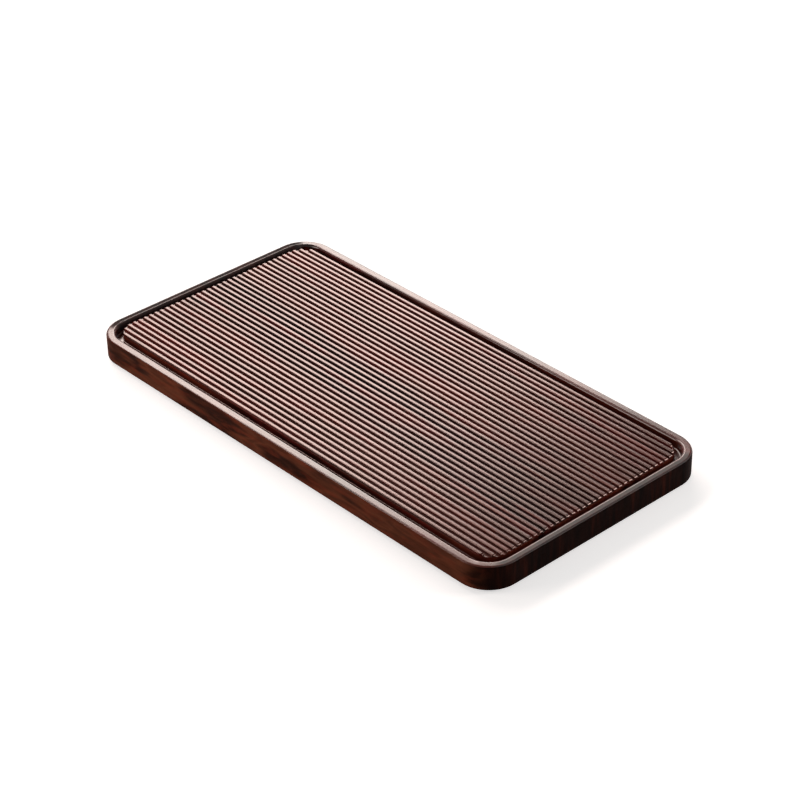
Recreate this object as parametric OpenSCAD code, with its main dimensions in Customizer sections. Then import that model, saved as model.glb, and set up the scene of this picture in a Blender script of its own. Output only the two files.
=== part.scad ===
// Gongfu tea tray: a hardwood slab with a rim and a gutter round a ribbed board that lifts out,
// and a shallow basin and drain under the board. X runs along the tray, Y across it, and the
// feet stand on Z = 0. The front is -Y, the left is -X, and the drain leaves at the back.

/* [Slab] */
// Length of the tray
tray_l = 600; // [480:5:760]
// Width of the tray
tray_w = 300; // [270:5:400]
// Thickness of the slab, without its feet
slab_h = 27; // [26:0.5:36]
// Radius of the outer corners, seen from above
corner_r = 35; // [26:1:60]
// Width of the rim
rim_w = 10; // [8:0.5:14]
// Rounding of the rim's outer top edge
rim_outer_round = 2.5; // [1:0.25:4]
// Rounding of the rim's inner top edge
rim_inner_round = 3; // [0.5:0.25:4]
// Rounding of the slab's bottom edge
base_round = 1.5; // [0.5:0.25:3]

/* [Gutter and basin] */
// Depth of the gutter floor below the rim
gutter_depth = 10; // [9:0.5:12]
// Radius of the cove where the rim meets the gutter floor
cove_r = 2; // [0.5:0.25:3]
// Width of the gutter along the long sides
side_gutter = 8; // [6:0.2:12]
// Width of the gutter at the short ends
end_gutter = 5.5; // [5:0.5:12]
// Depth of the basin below the gutter floor
basin_depth = 2.5; // [2:0.25:3.5]
// Width of the ledge between the deck's edge and the basin
ledge_w = 22; // [18:1:30]
// Corner radius of the basin
basin_corner_r = 12; // [5:1:30]

/* [Ribbed deck] */
// Corner radius of the deck
deck_corner_r = 22; // [16:1:26]
// Height of the rib tops above the rim
deck_rise = 0.6; // [0:0.1:2]
// How far the deck's drip edge stands out, and the radius of the cove above it
drip_edge = 1.2; // [0.8:0.1:1.5]
// Thickness of the drip edge
drip_edge_t = 0.6; // [0.4:0.1:1]
// Distance from one rib to the next
rib_pitch = 7.2; // [6:0.1:12]
// Width of a rib
rib_w = 3.6; // [3:0.1:5]
// Rounding of a rib's two top edges
rib_shoulder = 0.8; // [0.4:0.1:1.2]
// Rounding of a rib's ends, seen from the side
rib_end_round = 2.6; // [1.5:0.1:2.6]
// Height of a rib above the board
rib_h = 2.8; // [2.6:0.1:3.2]
// Margin between the rib ends and the deck's edge
rib_margin = 0.1; // [0.1:0.1:2]

/* [Battens and pads under the deck] */
// Length of a cross batten
batten_l = 200; // [140:5:205]
// Width of a cross batten
batten_w = 14; // [10:1:20]
// Depth of a batten in the deck
batten_let_in = 2; // [1:0.25:2.5]
// Height of a batten below the deck
batten_proud = 2.5; // [2:0.25:2.8]
// Distance from the middle batten to the outer ones
batten_spacing = 150; // [80:5:165]
// Distance between the screws of a batten
batten_screw_pitch = 80; // [40:5:90]
// Diameter of a deck pad
pad_d = 12; // [8:0.5:14]
// Height of a pad below the deck, which is the gap that water runs through
pad_proud = 1; // [0.8:0.1:1.5]
// Depth of a pad in the deck
pad_let_in = 0.6; // [0.4:0.1:1]
// Distance from the deck's edge to a pad's centre
pad_inset = 12; // [8:0.5:13]

/* [Drain] */
// Distance from the basin's left end to the drain
drain_from_end = 48; // [40:1:70]
// Distance from the basin's back to the drain
drain_from_side = 26; // [20:1:40]
// Diameter of the drain flange
flange_d = 34; // [32:0.5:38]
// Thickness of the drain flange
flange_t = 2.4; // [2.2:0.1:3]
// Diameter of the drain stem
stem_d = 16; // [15:0.5:18]
// Diameter of the drain bore
drain_bore_d = 12; // [8:0.5:12.5]
// Thickness of the gasket under the flange
gasket_t = 0.8; // [0.5:0.1:1]
// Thickness of the wood between the gasket and the hose channel
drain_web = 2.7; // [2:0.1:3]
// Width of the ledge in the flange that carries the strainer
strainer_ledge = 1.8; // [1.2:0.1:2.5]
// Diameter of the strainer
strainer_d = 28; // [26:0.5:29]
// Thickness of the strainer
strainer_t = 0.8; // [0.5:0.1:1]
// Diameter of the holes in the strainer
strainer_hole_d = 2; // [1:0.1:2.2]
// Height of the strainer's knob
knob_h = 1.6; // [1:0.1:1.8]
// Diameter of the strainer's knob
knob_d = 5; // [3:0.5:6]

/* [Hose spigot] */
// Inner diameter of the hose that fits the spigot
hose_d = 8; // [6:0.5:9]
// Wall of that hose
hose_wall = 2; // [1:0.25:2]
// Height of the hose above the table
hose_lift = 0.4; // [0.2:0.1:1]
// Length of the spigot outside the elbow
spigot_l = 18; // [12:1:24]
// Diameter of the passage through the spigot
passage_d = 5.6; // [3:0.2:5.6]
// Width of the elbow's nut across its corners
elbow_d = 23; // [22:0.5:25]
// Thickness of the elbow's floor
elbow_floor = 1.6; // [1:0.1:1.8]

/* [Anti-warp bars] */
// Length of a steel bar
bar_l = 240; // [160:5:250]
// Width of a steel bar
bar_w = 20; // [14:1:30]
// Thickness of a steel bar
bar_t = 3; // [2.4:0.2:4]
// Distance between the two bars
bar_spacing = 260; // [120:5:360]
// Distance between the screws of a bar
bar_screw_pitch = 100; // [50:5:105]

/* [Feet] */
// Height of the slab above the table
foot_h = 4; // [3:0.5:6]
// Diameter of a foot
foot_d = 22; // [18:1:30]
// Depth of a foot in the slab
foot_let_in = 1.5; // [0.5:0.25:2.5]
// Distance from the slab's edges to a foot's centre
foot_inset = 38; // [28:1:45]
// Depth of the screw head in the foot
foot_head_depth = 1.2; // [0.8:0.1:1.5]

/* [Screws] */
// Diameter of the screws
screw_d = 3.5; // [3:0.25:4]
// Diameter of the screw heads
screw_head_d = 6.6; // [6:0.2:7.5]
// Length of the bar and foot screws
screw_l = 11; // [8:0.5:12]
// Diameter of the batten screws
batten_screw_d = 2.5; // [2:0.25:3]
// Diameter of the batten screw heads
batten_head_d = 4.8; // [4.5:0.1:5]
// Length of the batten screws
batten_screw_l = 6.5; // [5.5:0.25:7]

/* [Clearances] */
// Round the pieces that are let into the wood
let_in_gap = 0.2; // [0.1:0.05:0.4]
// Round a screw in its hole
screw_gap = 0.05; // [0.02:0.01:0.1]
// Round the strainer in its seat
strainer_gap = 0.3; // [0.2:0.05:0.5]
// Round the drain stem in the wood
stem_gap = 0.3; // [0.2:0.05:0.5]
// Round the drain stem's thread in the elbow
thread_gap = 0.05; // [0.02:0.01:0.1]
// Beside the hose in its channel
channel_gap = 1; // [0.5:0.25:2]
// Round the elbow's nut in its pocket
pocket_gap = 1; // [0.5:0.25:2]

/* [Hidden] */
$fn = 96;

// A cut runs this far past the surface that it opens
past = 1;

// Colours, as the photograph shows them or as such fittings have them
wood = "#4d2519";
deck_wood = "#5a2b20";
batten_wood = "#6b3a28";
steel = "#9a9c9e";
brass = "#b08d4a";
rubber = "#1d1c1b";
silicone = "#d9d4c8";

// Heights
slab_z = foot_h;
rim_z = slab_z + slab_h;
gutter_z = rim_z - gutter_depth;
basin_z = gutter_z - basin_depth;
deck_z = gutter_z + pad_proud;
rib_top_z = rim_z + deck_rise;
board_z = rib_top_z - rib_h;

// The deck and the basin, seen from above
deck_l = tray_l - 2 * (rim_w + end_gutter);
deck_w = tray_w - 2 * (rim_w + side_gutter);
basin_l = deck_l - 2 * ledge_w;
basin_w = deck_w - 2 * ledge_w;

// The ribs: the outermost one on each side is the last that fits inside the deck's margin
rib_r = rib_w / 2;
// A rib goes this far down into the board, and its end round meets its top at a fine edge
rib_root = 0.5;
rib_end_edge = 0.05;
ribs_each_side = floor((deck_w / 2 - rib_r - rib_margin) / rib_pitch);

// The drain, from its flange down to the spigot
drain_x = -(basin_l / 2 - drain_from_end);
drain_y = basin_w / 2 - drain_from_side;
flange_z = basin_z - flange_t;
gasket_z = flange_z - gasket_t;
channel_z = gasket_z - drain_web;
hose_od = hose_d + 2 * hose_wall;
spigot_z = hose_lift + hose_od / 2;
elbow_z = spigot_z - passage_d / 2 - elbow_floor;
stem_z = spigot_z + passage_d / 2 + 0.2;
// The strainer lies just below the flange's top, over a dish that leads to the bore
strainer_sink = 0.2;
strainer_z = basin_z - strainer_sink - strainer_t;
dish_depth = strainer_sink + strainer_t + 0.8;
spigot_chamfer = 0.6;

// Rows of holes in the strainer: the ring's radius and its number of holes
strainer_rings = [[4.8, 8], [7.6, 12], [10.4, 18]];

// Cross slot of a screw head, as long as this share of the head
slot_share = 0.6;
slot_w = 0.9;
slot_depth = 0.8;

// A rectangle with round corners, centred
module rounded_plate(l, w, r) {
    square([l - 2 * r, w], center = true);
    square([l, w - 2 * r], center = true);
    for (sx = [-1, 1], sy = [-1, 1])
        translate([sx * (l / 2 - r), sy * (w / 2 - r)]) circle(r = r);
}

// What a round of radius r takes off a square corner at the origin whose wood lies at -X, -Y
module corner_round(r) {
    translate([-r, -r]) difference() {
        square(r + past);
        circle(r = r);
        translate([-past, 0]) square([past, r + 2 * past]);
    }
}

// Section through the slab's edge, from the centre of the corner arc outwards
module edge_section() {
    inner = corner_r - rim_w;
    difference() {
        square([corner_r, slab_h]);
        translate([-past, slab_h - gutter_depth]) square([inner + past, gutter_depth + past]);
        translate([corner_r, slab_h]) corner_round(rim_outer_round);
        translate([inner, slab_h]) mirror([1, 0]) corner_round(rim_inner_round);
        translate([corner_r, 0]) mirror([0, 1]) corner_round(base_round);
    }
    translate([inner - cove_r, slab_h - gutter_depth]) difference() {
        square([cove_r + rim_w / 2, cove_r]);
        translate([0, cove_r]) circle(r = cove_r);
    }
}

// A board l by w with corners of radius r: its edge section, the child, runs along each side and
// turns at each corner, round a core of height h
module edged_board(l, w, r, h) {
    straight_l = l - 2 * r;
    straight_w = w - 2 * r;
    for (turn = [0, 180]) rotate([0, 0, turn]) {
        translate([-straight_l / 2, straight_w / 2, 0])
            rotate([90, 0, 90]) linear_extrude(straight_l) children();
        translate([straight_l / 2, straight_w / 2, 0])
            rotate([90, 0, 0]) linear_extrude(straight_w) children();
        translate([straight_l / 2, straight_w / 2, 0])
            rotate_extrude(angle = 90) children();
        translate([-straight_l / 2, straight_w / 2, 0])
            rotate([0, 0, 90]) rotate_extrude(angle = 90) children();
    }
    translate([-straight_l / 2, -straight_w / 2, 0]) cube([straight_l, straight_w, h]);
}

// The slab before it is bored
module slab() {
    edged_board(tray_l, tray_w, corner_r, slab_h - gutter_depth) edge_section();
}

// A countersunk screw, its head's face at the origin and its shank upwards
module screw(d, head_d, l, gap = 0) {
    cone_h = (head_d - d) / 2;
    cylinder(d1 = head_d + 2 * gap, d2 = d + 2 * gap, h = cone_h);
    cylinder(d = d + 2 * gap, h = l + gap);
}

module slotted_screw(d, head_d, l) {
    difference() {
        screw(d, head_d, l);
        for (turn = [0, 90]) rotate([0, 0, turn])
            cube([head_d * slot_share, slot_w, 2 * slot_depth], center = true);
    }
}

// Places of the repeated pieces
module at_feet() {
    for (sx = [-1, 1], sy = [-1, 1])
        translate([sx * (tray_l / 2 - foot_inset), sy * (tray_w / 2 - foot_inset), 0]) children();
}

module at_bar_screws() {
    for (sx = [-1, 1], row = [-1, 0, 1])
        translate([sx * bar_spacing / 2, row * bar_screw_pitch, slab_z]) children();
}

module at_batten_screws() {
    for (column = [-1, 0, 1], row = [-1, 0, 1])
        translate([column * batten_spacing, row * batten_screw_pitch, deck_z - batten_proud])
            children();
}

module at_drain() {
    translate([drain_x, drain_y, 0]) children();
}

// The slab with its basin, its drain hole and hose channel, and its pockets for bars and feet
module tray_body() {
    color(wood) difference() {
        translate([0, 0, slab_z]) slab();
        translate([0, 0, basin_z]) linear_extrude(basin_depth + past)
            rounded_plate(basin_l, basin_w, basin_corner_r);
        at_drain() {
            translate([0, 0, gasket_z])
                cylinder(d = flange_d + 2 * let_in_gap, h = basin_z - gasket_z + past);
            cylinder(d = stem_d + 2 * stem_gap, h = basin_z);
            translate([0, 0, slab_z - past])
                cylinder(d = elbow_d + 2 * pocket_gap, h = channel_z - slab_z + past);
        }
        translate([drain_x - hose_od / 2 - channel_gap, drain_y, slab_z - past])
            cube([hose_od + 2 * channel_gap, tray_w / 2 - drain_y + past, channel_z - slab_z + past]);
        for (sx = [-1, 1]) translate([sx * bar_spacing / 2, 0, slab_z - past])
            linear_extrude(bar_t + past)
                rounded_plate(bar_w + 2 * let_in_gap, bar_l + 2 * let_in_gap, bar_w / 2);
        at_bar_screws() cylinder(d = screw_d + 2 * screw_gap, h = screw_l + screw_gap);
        at_feet() {
            translate([0, 0, slab_z - past])
                cylinder(d = foot_d + 2 * let_in_gap, h = foot_let_in + past);
            translate([0, 0, foot_head_depth])
                cylinder(d = screw_d + 2 * screw_gap, h = screw_l + screw_gap);
        }
    }
}

module anti_warp_bar(side) {
    color(steel) difference() {
        translate([side * bar_spacing / 2, 0, slab_z])
            linear_extrude(bar_t) rounded_plate(bar_w, bar_l, bar_w / 2 - let_in_gap);
        at_bar_screws() screw(screw_d, screw_head_d, screw_l, screw_gap);
    }
}

module bar_screws() {
    color(steel) at_bar_screws() slotted_screw(screw_d, screw_head_d, screw_l);
}

// A rubber foot, let into the slab, with a sunk hole for its screw
module foot(sx, sy) {
    translate([sx * (tray_l / 2 - foot_inset), sy * (tray_w / 2 - foot_inset), 0])
        color(rubber) difference() {
            cylinder(d = foot_d, h = foot_h + foot_let_in);
            translate([0, 0, -past])
                cylinder(d = screw_head_d + 2 * let_in_gap, h = foot_head_depth + past);
            translate([0, 0, foot_head_depth]) screw(screw_d, screw_head_d, screw_l, screw_gap);
        }
}

module foot_screws() {
    color(steel) at_feet() translate([0, 0, foot_head_depth])
        slotted_screw(screw_d, screw_head_d, screw_l);
}

module drain_gasket() {
    color(silicone) at_drain() translate([0, 0, gasket_z]) difference() {
        cylinder(d = flange_d, h = gasket_t);
        translate([0, 0, -past]) cylinder(d = stem_d + 2 * stem_gap, h = gasket_t + 2 * past);
    }
}

// The flange is dished under the strainer, and its stem goes down into the elbow
module drain_flange() {
    seat_d = strainer_d + 2 * strainer_gap;
    color(brass) at_drain() difference() {
        union() {
            translate([0, 0, flange_z]) cylinder(d = flange_d, h = flange_t);
            translate([0, 0, stem_z]) cylinder(d = stem_d, h = flange_z - stem_z);
        }
        translate([0, 0, strainer_z]) cylinder(d = seat_d, h = strainer_t + strainer_sink + past);
        translate([0, 0, basin_z - dish_depth])
            cylinder(d = strainer_d - 2 * strainer_ledge, h = dish_depth);
        translate([0, 0, stem_z - past]) cylinder(d = drain_bore_d, h = basin_z - stem_z);
    }
}

// The elbow screws up the stem, clamps the flange, and turns the water towards the back
module drain_elbow() {
    color(brass) at_drain() difference() {
        union() {
            translate([0, 0, elbow_z]) cylinder(d = elbow_d, h = channel_z - elbow_z, $fn = 6);
            translate([0, 0, spigot_z]) rotate([-90, 0, 0]) {
                cylinder(d = hose_d, h = elbow_d / 2 + spigot_l - spigot_chamfer);
                translate([0, 0, elbow_d / 2 + spigot_l - spigot_chamfer])
                    cylinder(d1 = hose_d, d2 = hose_d - 2 * spigot_chamfer, h = spigot_chamfer);
            }
        }
        translate([0, 0, spigot_z - passage_d / 2]) cylinder(d = drain_bore_d, h = passage_d);
        translate([0, 0, spigot_z + passage_d / 2])
            cylinder(d = stem_d + 2 * thread_gap, h = channel_z - spigot_z + past);
        translate([0, 0, spigot_z]) rotate([-90, 0, 0])
            cylinder(d = passage_d, h = elbow_d / 2 + spigot_l + past);
    }
}

// A pierced disc with a knob to lift it by
module strainer() {
    color(steel) at_drain() translate([0, 0, strainer_z]) {
        difference() {
            cylinder(d = strainer_d, h = strainer_t);
            for (ring = strainer_rings, i = [0 : ring[1] - 1])
                rotate([0, 0, i * 360 / ring[1]]) translate([ring[0], 0, -past])
                    cylinder(d = strainer_hole_d, h = strainer_t + 2 * past);
        }
        cylinder(d = knob_d, h = strainer_t + knob_h);
    }
}

// Half the length of a rib: near the deck's corners its centre line ends inside the corner's arc
function rib_half(y) =
    let (
        reach = deck_corner_r - rib_margin,
        into_corner = max(0, y - (deck_w / 2 - deck_corner_r))
    )
    deck_l / 2 - deck_corner_r + sqrt(max(0, reach * reach - into_corner * into_corner));

// A rib along X on the plane of its root: flat on top, with round shoulders and round ends
module rib(half) {
    top = rib_root + rib_h;
    intersection() {
        translate([-half, 0, 0]) rotate([90, 0, 90]) linear_extrude(2 * half) difference() {
            translate([-rib_r, 0]) square([rib_w, top]);
            for (side = [0, 1]) mirror([side, 0]) translate([rib_r, top]) corner_round(rib_shoulder);
        }
        translate([0, rib_w, 0]) rotate([90, 0, 0]) linear_extrude(2 * rib_w) difference() {
            translate([-half, 0]) square([2 * half, top + rib_end_edge]);
            for (side = [0, 1]) mirror([side, 0])
                translate([half, top + rib_end_edge]) corner_round(rib_end_round);
        }
    }
}

// Section through the board's edge, from the centre of the corner arc outwards: a plain side that
// flares by a cove into a drip edge at its foot
module board_section() {
    square([deck_corner_r, board_z - deck_z]);
    translate([deck_corner_r, 0]) difference() {
        translate([-past, 0]) square([drip_edge + past, drip_edge_t + drip_edge]);
        translate([drip_edge, drip_edge_t + drip_edge]) circle(r = drip_edge);
    }
}

// The board with its carved ribs, cut below for the battens, the pads and their screws
module ribbed_deck() {
    color(deck_wood) difference() {
        union() {
            translate([0, 0, deck_z])
                edged_board(deck_l, deck_w, deck_corner_r, board_z - deck_z) board_section();
            intersection() {
                for (i = [-ribs_each_side : ribs_each_side])
                    translate([0, i * rib_pitch, board_z - rib_root])
                        rib(rib_half(abs(i) * rib_pitch));
                translate([0, 0, deck_z]) linear_extrude(rib_top_z - deck_z + past)
                    rounded_plate(deck_l, deck_w, deck_corner_r);
            }
        }
        for (column = [-1, 0, 1])
            translate([
                column * batten_spacing - batten_w / 2 - let_in_gap,
                -batten_l / 2 - let_in_gap,
                deck_z - past
            ])
                cube([batten_w + 2 * let_in_gap, batten_l + 2 * let_in_gap, batten_let_in + past]);
        at_batten_screws()
            cylinder(d = batten_screw_d + 2 * screw_gap, h = batten_screw_l + screw_gap);
        for (column = [-1, 0, 1], row = [-1, 1]) at_pad(column, row)
            translate([0, 0, -past]) cylinder(d = pad_d + 2 * let_in_gap, h = pad_let_in + past);
    }
}

module deck_batten(column) {
    color(batten_wood) difference() {
        translate([column * batten_spacing - batten_w / 2, -batten_l / 2, deck_z - batten_proud])
            cube([batten_w, batten_l, batten_proud + batten_let_in]);
        at_batten_screws() screw(batten_screw_d, batten_head_d, batten_screw_l, screw_gap);
    }
}

module batten_screws() {
    color(steel) at_batten_screws()
        slotted_screw(batten_screw_d, batten_head_d, batten_screw_l);
}

// A pad's place on the deck's underside
module at_pad(column, row) {
    translate([column * (deck_l / 2 - pad_inset), row * (deck_w / 2 - pad_inset), deck_z])
        children();
}

module deck_pad(column, row) {
    color(silicone) at_pad(column, row)
        translate([0, 0, -pad_proud]) cylinder(d = pad_d, h = pad_proud + pad_let_in);
}

tray_body();
anti_warp_bar(-1);  // anti_warp_bar_left
anti_warp_bar(1);  // anti_warp_bar_right
bar_screws();
foot(-1, -1);  // foot_front_left
foot(1, -1);  // foot_front_right
foot(-1, 1);  // foot_back_left
foot(1, 1);  // foot_back_right
foot_screws();
drain_flange();
drain_gasket();
drain_elbow();
strainer();
ribbed_deck();
deck_batten(-1);  // deck_batten_left
deck_batten(0);  // deck_batten_middle
deck_batten(1);  // deck_batten_right
batten_screws();
deck_pad(-1, -1);  // deck_pad_front_left
deck_pad(0, -1);  // deck_pad_front_middle
deck_pad(1, -1);  // deck_pad_front_right
deck_pad(-1, 1);  // deck_pad_back_left
deck_pad(0, 1);  // deck_pad_back_middle
deck_pad(1, 1);  // deck_pad_back_right
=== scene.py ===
"""Looks of the gongfu tea tray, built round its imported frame. Lengths in the code are in millimetres
and are turned to metres by MM, unless a comment says otherwise."""

import math

import bmesh
import bpy
from mathutils import Matrix, Quaternion, Vector


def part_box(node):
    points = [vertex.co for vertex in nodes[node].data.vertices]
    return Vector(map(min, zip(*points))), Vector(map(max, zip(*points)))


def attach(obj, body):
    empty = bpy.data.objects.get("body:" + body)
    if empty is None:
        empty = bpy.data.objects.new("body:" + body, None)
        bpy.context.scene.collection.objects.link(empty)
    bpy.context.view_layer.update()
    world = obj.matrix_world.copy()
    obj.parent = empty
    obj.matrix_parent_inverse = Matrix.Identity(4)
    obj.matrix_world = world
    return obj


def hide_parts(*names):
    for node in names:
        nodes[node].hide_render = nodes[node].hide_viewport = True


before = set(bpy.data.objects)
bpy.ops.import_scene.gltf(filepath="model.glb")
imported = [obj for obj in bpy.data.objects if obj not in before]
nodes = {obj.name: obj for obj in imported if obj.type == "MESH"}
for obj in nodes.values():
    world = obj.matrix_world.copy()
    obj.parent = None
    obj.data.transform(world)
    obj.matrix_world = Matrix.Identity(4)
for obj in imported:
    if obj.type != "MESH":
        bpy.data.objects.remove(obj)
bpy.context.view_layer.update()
MM = 0.001
# Warm white, which makes the reflections pinkish on the red wood
LAMP_TINT = "#ffefe7"


# ---------- Small helpers ----------

def linear(hex_colour):
    """An sRGB hex colour as linear red, green, blue and alpha."""
    parts = [int(hex_colour[i:i + 2], 16) / 255 for i in (1, 3, 5)]
    return tuple(c / 12.92 if c <= 0.04045 else ((c + 0.055) / 1.055) ** 2.4 for c in parts) + (1,)


def per_mm(size):
    """The scale of a pattern on Object coordinates whose features are this many millimetres."""
    return 1 / (size * MM)


def add(tree, kind, settings=None, values=None, links=None):
    """One node, with its settings, the plain values of its inputs and the sockets linked to them."""
    node = tree.nodes.new(kind)
    for name, value in (settings or {}).items():
        setattr(node, name, value)
    for name, value in (values or {}).items():
        node.inputs[name].default_value = value
    for name, socket in (links or {}).items():
        tree.links.new(socket, node.inputs[name])
    return node


def blank_material(name):
    """A material with an empty tree, and that tree."""
    material = bpy.data.materials.new(name)
    material.use_nodes = True
    material.node_tree.nodes.clear()
    return material, material.node_tree


def ramp(tree, socket, *stops):
    """A colour ramp on a socket, from places and colours."""
    node = add(tree, "ShaderNodeValToRGB", links={"Fac": socket})
    elements = node.color_ramp.elements
    while len(elements) < len(stops):
        elements.new(1)
    for element, (place, colour) in zip(elements, stops):
        element.position = place
        element.color = linear(colour)
    return node.outputs["Color"]


# ---------- Materials ----------

def rosewood(name, tones, red, pattern, finish, ends_rough=None, ends_grain_and_shade_tones=None,
             ends_from=(0, 0), tint="#ffffff", line=0.35):
    """Oiled rosewood. The pattern gives the bands' stretch along X, Y and Z, their distance apart in
    millimetres, how far they wander, the share of red heartwood and the depth of the pores. The finish
    gives the least and greatest roughness and the specular level. Towards the tray's ends, where the
    grain is cut across, the wood may be rougher, and may get upright grain streaks in darker tones that are
    painted shade."""
    dark, middle, light = tones
    stretch, apart, wander, red_share, pore_share = pattern
    rough_low, rough_high, specular = finish
    material, tree = blank_material(name)
    place = add(tree, "ShaderNodeTexCoord").outputs["Object"]
    # Growth bands, drawn out along the grain
    along = add(tree, "ShaderNodeMapping", values={"Scale": stretch}, links={"Vector": place})
    bands = add(
        tree, "ShaderNodeTexWave",
        {"wave_type": "BANDS", "bands_direction": "DIAGONAL", "wave_profile": "SIN"},
        {"Scale": per_mm(apart) / 20, "Distortion": wander, "Detail": 3,
         "Detail Scale": per_mm(apart) / 20 * 1.2, "Detail Roughness": 0.5},
        {"Vector": along.outputs["Vector"]},
    )
    figure = ramp(
        tree, bands.outputs["Fac"], (0, dark), (line, middle), (0.75, light), (1, middle)
    )
    # Streaks of redder heartwood
    streaks = add(
        tree, "ShaderNodeTexNoise", None,
        {"Scale": per_mm(apart * 0.9), "Detail": 3, "Roughness": 0.55, "Distortion": 0.4},
        {"Vector": along.outputs["Vector"]},
    )
    red_where = add(
        tree, "ShaderNodeMapRange", None,
        {"From Min": 0.48, "From Max": 0.66, "To Min": 0, "To Max": red_share},
        {"Value": streaks.outputs["Fac"]},
    )
    reddened = add(
        tree, "ShaderNodeMix", {"data_type": "RGBA"},
        links={"Factor": red_where.outputs["Result"], "A": figure},
    )
    reddened.inputs["B"].default_value = linear(red)
    # Pores: dark dashes, drawn coarser than the real 0.2 mm so that they show
    fine = add(tree, "ShaderNodeMapping", values={"Scale": (0.05, 1, 0.5)}, links={"Vector": place})
    pores = add(
        tree, "ShaderNodeTexNoise", None, {"Scale": per_mm(1.6), "Detail": 2, "Roughness": 0.6},
        {"Vector": fine.outputs["Vector"]},
    )
    pore_where = add(
        tree, "ShaderNodeMapRange", None,
        {"From Min": 0.5, "From Max": 0.7, "To Min": 0, "To Max": pore_share},
        {"Value": pores.outputs["Fac"]},
    )
    coloured = add(
        tree, "ShaderNodeMix", {"data_type": "RGBA"},
        links={"Factor": pore_where.outputs["Result"], "A": reddened.outputs["Result"]},
    )
    coloured.inputs["B"].default_value = linear(dark)
    roughness = add(
        tree, "ShaderNodeMapRange", None,
        {"From Min": 0.35, "From Max": 0.7, "To Min": rough_low, "To Max": rough_high},
        {"Value": pores.outputs["Fac"]},
    ).outputs["Result"]
    if ends_rough is not None:
        parts = add(tree, "ShaderNodeSeparateXYZ", links={"Vector": place})
        worn = add(
            tree, "ShaderNodeMapRange", None,
            {"From Min": -0.05, "From Max": 0.05, "To Min": ends_rough[0], "To Max": ends_rough[1]},
            {"Value": parts.outputs["X"]},
        )
        mixed = add(
            tree, "ShaderNodeMix", {"data_type": "FLOAT"}, None,
            {"Factor": share_of_end(tree, place, *ends_from), "A": roughness,
             "B": worn.outputs["Result"]},
        )
        roughness = mixed.outputs["Result"]
    # Painted shade: darker, upright-streaked tones towards the tray's ends
    if ends_grain_and_shade_tones is not None:
        coloured = end_grain_and_painted_end_shade(tree, place, coloured.outputs["Result"], ends_grain_and_shade_tones, ends_from)
    bump = add(
        tree, "ShaderNodeBump", {"invert": True}, {"Strength": 0.15, "Distance": 0.05 * MM},
        {"Height": pores.outputs["Fac"]},
    )
    shader = add(
        tree, "ShaderNodeBsdfPrincipled", None,
        {"Metallic": 0, "IOR": 1.5, "Specular IOR Level": specular, "Specular Tint": linear(tint)},
        {"Base Color": coloured.outputs["Result"], "Roughness": roughness,
         "Normal": bump.outputs["Normal"]},
    )
    add(tree, "ShaderNodeOutputMaterial", links={"Surface": shader.outputs["BSDF"]})
    return material


def share_of_end(tree, place, low, high):
    """From 0 at the long sides to 1 at the tray's ends, changing part of the way round each corner:
    it follows how much nearer a point is to an end than to a long side, in millimetres."""
    parts = add(tree, "ShaderNodeSeparateXYZ", links={"Vector": place})
    away = []
    for axis in "XY":
        size = add(tree, "ShaderNodeMath", {"operation": "ABSOLUTE"}, None, {0: parts.outputs[axis]})
        away.append(size.outputs["Value"])
    nearer = add(tree, "ShaderNodeMath", {"operation": "SUBTRACT"}, None, {0: away[0], 1: away[1]})
    share = add(
        tree, "ShaderNodeMapRange", {"interpolation_type": "SMOOTHSTEP"},
        {"From Min": low * MM, "From Max": high * MM, "To Min": 0, "To Max": 1},
        {"Value": nearer.outputs["Value"]},
    )
    return share.outputs["Result"]


def end_grain_and_painted_end_shade(tree, place, colour, tones, ends_from):
    """Upright streaks 4 mm apart where the bands are cut, in darker tones that are painted shade on the ends.
    """
    across = add(tree, "ShaderNodeMapping", values={"Scale": (1, 1, 0.12)}, links={"Vector": place})
    streaks = add(
        tree, "ShaderNodeTexNoise", None, {"Scale": per_mm(7), "Detail": 2, "Roughness": 0.5},
        {"Vector": across.outputs["Vector"]},
    )
    shade = ramp(tree, streaks.outputs["Fac"], (0.35, tones[0]), (0.55, tones[1]), (0.75, tones[2]))
    return add(
        tree, "ShaderNodeMix", {"data_type": "RGBA"},
        links={"Factor": share_of_end(tree, place, *ends_from), "A": colour, "B": shade},
    )


def brushed_metal(name, colour, rough_low, rough_high, grain, stretch):
    """Metal with fine marks of the tool that finished it, stretched along the way it moved."""
    material, tree = blank_material(name)
    place = add(tree, "ShaderNodeTexCoord").outputs["Object"]
    along = add(tree, "ShaderNodeMapping", values={"Scale": stretch}, links={"Vector": place})
    marks = add(
        tree, "ShaderNodeTexNoise", None, {"Scale": per_mm(grain), "Detail": 3, "Roughness": 0.6},
        {"Vector": along.outputs["Vector"]},
    )
    roughness = add(
        tree, "ShaderNodeMapRange", None,
        {"From Min": 0.3, "From Max": 0.7, "To Min": rough_low, "To Max": rough_high},
        {"Value": marks.outputs["Fac"]},
    )
    bump = add(
        tree, "ShaderNodeBump", None, {"Strength": 0.2, "Distance": 0.02 * MM},
        {"Height": marks.outputs["Fac"]},
    )
    shader = add(
        tree, "ShaderNodeBsdfPrincipled", None, {"Base Color": linear(colour), "Metallic": 1},
        {"Roughness": roughness.outputs["Result"], "Normal": bump.outputs["Normal"]},
    )
    add(tree, "ShaderNodeOutputMaterial", links={"Surface": shader.outputs["BSDF"]})
    return material


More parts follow.
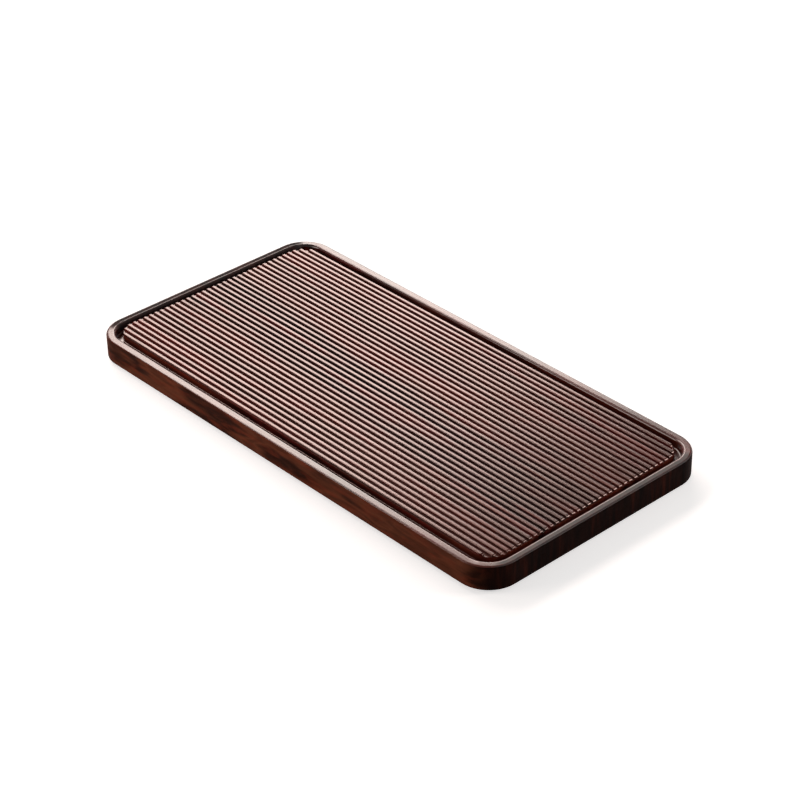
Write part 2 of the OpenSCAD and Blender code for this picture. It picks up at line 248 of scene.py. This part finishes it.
def moulded_rubber(name, colour, worn, rough, grain):
    """Moulded rubber or silicone: matt, with a fine leathery grain and slightly paler scuffs."""
    material, tree = blank_material(name)
    place = add(tree, "ShaderNodeTexCoord").outputs["Object"]
    skin = add(
        tree, "ShaderNodeTexNoise", None, {"Scale": per_mm(grain), "Detail": 3, "Roughness": 0.6},
        {"Vector": place},
    )
    shade = ramp(tree, skin.outputs["Fac"], (0.35, colour), (0.75, worn))
    bump = add(
        tree, "ShaderNodeBump", None, {"Strength": 0.3, "Distance": 0.05 * MM},
        {"Height": skin.outputs["Fac"]},
    )
    shader = add(
        tree, "ShaderNodeBsdfPrincipled", None,
        {"Metallic": 0, "IOR": 1.5, "Specular IOR Level": 0.3, "Roughness": rough},
        {"Base Color": shade, "Normal": bump.outputs["Normal"]},
    )
    add(tree, "ShaderNodeOutputMaterial", links={"Surface": shader.outputs["BSDF"]})
    return material


polished = rosewood(
    "rosewood_oiled_and_polished", ("#1e0905", "#431c14", "#5e2a1d"), "#6e231c",
    ((0.12, 1, 0.8), 9, 3, 0.5, 0.3), (0.18, 0.24, 0.8),
)
# The rim top is rougher towards the ends, and darkened there with painted shade
rim_top = rosewood(
    "rosewood_rim_polished_along_end_shade_painted", ("#1e0905", "#431c14", "#5e2a1d"), "#6e231c",
    ((0.12, 1, 0.8), 9, 3, 0.5, 0.3), (0.2, 0.26, 0.8), ends_rough=(1, 0.55),
    ends_grain_and_shade_tones=("#120605", "#2a100b", "#3c1a12"), ends_from=(150, 168),
)
# The outer sides are darkened towards the ends with painted shade, over upright grain streaks
rubbed = rosewood(
    "rosewood_rubbed_matt_end_shade_painted", ("#2a130b", "#4c281a", "#5e3322"), "#70301f",
    ((0.22, 0.6, 1), 9, 9, 0.45, 0.2), (0.6, 0.75, 0.02), line=0.3,
    ends_grain_and_shade_tones=("#0a0302", "#190906", "#30130c"), ends_from=(118, 160),
)
underside = rosewood(
    "rosewood_underside_rubbed", ("#2a130b", "#4c281a", "#5e3322"), "#70301f",
    ((0.22, 0.6, 1), 9, 9, 0.45, 0.2), (0.6, 0.75, 0.02), line=0.3,
)
deck_side = rosewood(
    "rosewood_deck_edge_rubbed", ("#2a100a", "#56241a", "#70301f"), "#7c2622",
    ((0.15, 1, 0.6), 9, 5, 0.5, 0.3), (0.6, 0.75, 0.05),
)
deck_wood = rosewood(
    "rosewood_deck_oiled", ("#240b07", "#40190f", "#54241a"), "#7c2622",
    ((0.07, 1, 0.6), 14, 3, 0.45, 0.3), (0.18, 0.24, 0.9), tint="#ffe6e0",
)
batten_wood = rosewood(
    "rosewood_batten_oiled", ("#2a120a", "#5a3020", "#7a462f"), "#6c3226",
    ((1, 0.12, 0.6), 9, 4, 0.3, 0.4), (0.4, 0.55, 0.3),
)
steel = brushed_metal("stainless_steel_brushed", "#b4b5b4", 0.28, 0.45, 0.5, (0.05, 1, 1))
brass = brushed_metal("brass_turned", "#c9a157", 0.22, 0.38, 0.5, (1, 1, 0.1))
rubber = moulded_rubber("rubber_moulded_black", "#161514", "#242220", 0.75, 0.6)
silicone = moulded_rubber("silicone_moulded_ivory", "#d6d0c2", "#e2ddd0", 0.6, 0.6)


# ---------- Pieces ----------

def finish_node(node, material):
    """A CAD node keeps its shape and gets its material."""
    slots = nodes[node].data.materials
    slots.clear()
    slots.append(material)


def smooth_copy(node, name, body, smooth_angle):
    """A copy of a CAD node with its triangles joined, so that its curves shade smoothly."""
    copy = nodes[node].copy()
    copy.data = nodes[node].data.copy()
    copy.name = name
    copy.data.name = name
    for key in list(copy.keys()):
        del copy[key]
    copy.parent = None
    bpy.context.scene.collection.objects.link(copy)
    bpy.ops.object.select_all(action="DESELECT")
    copy.select_set(True)
    bpy.context.view_layer.objects.active = copy
    bpy.ops.object.mode_set(mode="EDIT")
    bpy.ops.mesh.select_all(action="SELECT")
    bpy.ops.mesh.remove_doubles(threshold=0.002 * MM)
    bpy.ops.mesh.customdata_custom_splitnormals_clear()
    bpy.ops.object.mode_set(mode="OBJECT")
    bpy.ops.object.shade_smooth_by_angle(angle=math.radians(smooth_angle))
    even = copy.modifiers.new("flat_faces_stay_flat", "WEIGHTED_NORMAL")
    even.keep_sharp = True
    even.weight = 100
    bpy.ops.object.modifier_apply(modifier=even.name)
    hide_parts(node)
    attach(copy, body)
    return copy


tray = smooth_copy("tray_body", "tray", "tray", 30)
deck = smooth_copy("ribbed_deck", "deck", "deck", 30)
deck.data.materials.clear()
deck.data.materials.append(deck_wood)
deck.data.materials.append(deck_side)
# The deck's upright edges, between the drip edge's cove and the roots of the ribs, are rubbed matt
deck_low, deck_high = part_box("ribbed_deck")
rib_zone = 2.9 * MM
for face in deck.data.polygons:
    if abs(face.normal.z) < 0.5 and face.center.z < deck_high.z - rib_zone:
        face.material_index = 1

# The rim and the gutter are polished. The outer sides and the underside are rubbed matt.
rim_round = 0.9 * MM
rim_flatness = 0.01 * MM
wall_foot = 7.9 * MM
tray_low, tray_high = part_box("tray_body")
tray.data.materials.clear()
tray.data.materials.append(polished)
tray.data.materials.append(rubbed)
tray.data.materials.append(rim_top)
tray.data.materials.append(underside)
# At the tray's ends, the outer sides, the rim's flat top and the faces turned towards the right end are
# darkened with painted shade
for face in tray.data.polygons:
    outward = face.normal.x * face.center.x + face.normal.y * face.center.y > 0
    side = outward and face.center.z < tray_high.z - rim_round and abs(face.normal.z) < 0.99
    rim = face.normal.z > 0.999 and face.center.z > tray_high.z - rim_flatness
    turned_right = face.normal.x > 0.2 and face.center.z > tray_high.z - wall_foot
    if face.normal.z < -0.5:
        face.material_index = 3
    else:
        face.material_index = 1 if side or face.normal.z < -0.01 else 2 if rim or turned_right else 0

for node in nodes:
    if node in ("tray_body", "ribbed_deck"):
        continue
    if "screws" in node or "bar" in node or node == "strainer":
        finish_node(node, steel)
    elif node in ("drain_flange", "drain_elbow"):
        finish_node(node, brass)
    elif node.startswith("foot"):
        finish_node(node, rubber)
    elif node.startswith("deck_batten"):
        finish_node(node, batten_wood)
    else:
        finish_node(node, silicone)


# ---------- Floor, light and camera ----------

def pale_floor():
    """A plain pale floor that shows white to the camera and in reflections and keeps the shadow."""
    bpy.ops.mesh.primitive_plane_add(size=8, location=(0, 0, 0))
    floor = bpy.context.object
    floor.name = "floor"
    material, tree = blank_material("floor_pale")
    path = add(tree, "ShaderNodeLightPath")
    seen = add(
        tree, "ShaderNodeMath", {"operation": "MAXIMUM"},
        links={0: path.outputs["Is Camera Ray"], 1: path.outputs["Is Glossy Ray"]},
    )
    seen = add(
        tree, "ShaderNodeMath", {"operation": "MAXIMUM"},
        links={0: seen.outputs["Value"], 1: path.outputs["Is Transmission Ray"]},
    )
    lift = add(
        tree, "ShaderNodeMath", {"operation": "MULTIPLY"}, {1: 0.6}, {0: seen.outputs["Value"]}
    )
    matt = add(tree, "ShaderNodeBsdfDiffuse", None, {"Color": linear("#e8e8e8")})
    glow = add(tree, "ShaderNodeEmission", None, {"Color": (1, 1, 1, 1)}, {"Strength": lift.outputs["Value"]})
    both = add(
        tree, "ShaderNodeAddShader", links={0: matt.outputs["BSDF"], 1: glow.outputs["Emission"]}
    )
    add(tree, "ShaderNodeOutputMaterial", links={"Surface": both.outputs["Shader"]})
    floor.data.materials.append(material)


def light_from(name, azimuth, elevation, distance, size, radiance, roll=0):
    """A rectangular softbox that faces the tray. Its azimuth turns from the left end towards the back,
    its size is its width and height, and its power follows from its size and its face's brightness.
    A roll lowers its end towards the back."""
    lamp = bpy.data.lights.new(name, "AREA")
    lamp.shape = "RECTANGLE"
    lamp.size, lamp.size_y = (s * MM for s in size)
    lamp.energy = radiance * math.pi * lamp.size * lamp.size_y
    lamp.color = linear(LAMP_TINT)[:3]
    azimuth, elevation = math.radians(azimuth), math.radians(elevation)
    away = Vector((
        -math.cos(elevation) * math.cos(azimuth),
        math.cos(elevation) * math.sin(azimuth),
        math.sin(elevation),
    ))
    holder = bpy.data.objects.new(name, lamp)
    holder.location = away * distance * MM
    turn = (-away).to_track_quat("-Z", "Y") @ Quaternion((0, 0, 1), math.radians(roll))
    holder.rotation_euler = turn.to_euler()
    bpy.context.scene.collection.objects.link(holder)


def world_light(strength, backdrop_top):
    """A dim, even surround. The camera sees it white, and reflections see it white up to the top of
    the backdrop, given as the sine of its height."""
    world = bpy.data.worlds.new("studio")
    world.use_nodes = True
    tree = world.node_tree
    tree.nodes.clear()
    path = add(tree, "ShaderNodeLightPath")
    way = add(tree, "ShaderNodeTexCoord").outputs["Generated"]
    height = add(tree, "ShaderNodeSeparateXYZ", links={"Vector": way}).outputs["Z"]
    low = add(
        tree, "ShaderNodeMapRange", {"interpolation_type": "SMOOTHSTEP"},
        {"From Min": backdrop_top, "From Max": backdrop_top + 0.08, "To Min": 1, "To Max": 0},
        {"Value": height},
    )
    mirrored = add(
        tree, "ShaderNodeMath", {"operation": "MAXIMUM"},
        links={0: path.outputs["Is Glossy Ray"], 1: path.outputs["Is Transmission Ray"]},
    )
    mirrored = add(
        tree, "ShaderNodeMath", {"operation": "MULTIPLY"},
        links={0: mirrored.outputs["Value"], 1: low.outputs["Result"]},
    )
    seen = add(
        tree, "ShaderNodeMath", {"operation": "MAXIMUM"},
        links={0: path.outputs["Is Camera Ray"], 1: mirrored.outputs["Value"]},
    )
    dim = add(tree, "ShaderNodeBackground", None, {"Color": (1, 1, 1, 1), "Strength": strength})
    white = add(tree, "ShaderNodeBackground", None, {"Color": (1, 1, 1, 1), "Strength": 1})
    pick = add(
        tree, "ShaderNodeMixShader",
        links={0: seen.outputs["Value"], 1: dim.outputs["Background"],
               2: white.outputs["Background"]},
    )
    add(tree, "ShaderNodeOutputWorld", links={"Surface": pick.outputs["Shader"]})
    bpy.context.scene.world = world


def studio_camera():
    """The camera at the photograph's place: fitted to the tray's outline, in an 800 by 800 frame."""
    azimuth, elevation, roll = (math.radians(a) for a in (-42.0446, 32.9085, -1.0))
    distance = 2517.6
    target = Vector((-4.3, 20.7, 4))
    away = Vector((
        math.cos(elevation) * math.cos(azimuth),
        math.cos(elevation) * math.sin(azimuth),
        math.sin(elevation),
    ))
    right = (-away).cross(Vector((0, 0, 1))).normalized()
    up = right.cross(-away)
    right, up = (
        math.cos(roll) * right + math.sin(roll) * up,
        -math.sin(roll) * right + math.cos(roll) * up,
    )
    data = bpy.data.cameras.new("camera")
    data.sensor_width = 36
    data.lens = 2440.35 * 36 / 800
    data.clip_end = 50
    camera = bpy.data.objects.new("camera", data)
    turn = Matrix((right, up, away)).transposed().to_4x4()
    camera.matrix_world = Matrix.Translation((target + distance * away) * MM) @ turn
    bpy.context.scene.collection.objects.link(camera)
    bpy.context.scene.camera = camera


pale_floor()
world_light(0.16, 0.22)
light_from("softbox_left", 23.2, 39.2, 4800, (5900, 1260), 8, 26)
light_from("softbox_front", -64, 22, 1400, (750, 650), 5)
light_from("softbox_back_right", 143, 18, 1700, (480, 480), 12)
studio_camera()
bpy.context.scene.view_settings.view_transform = "Standard"
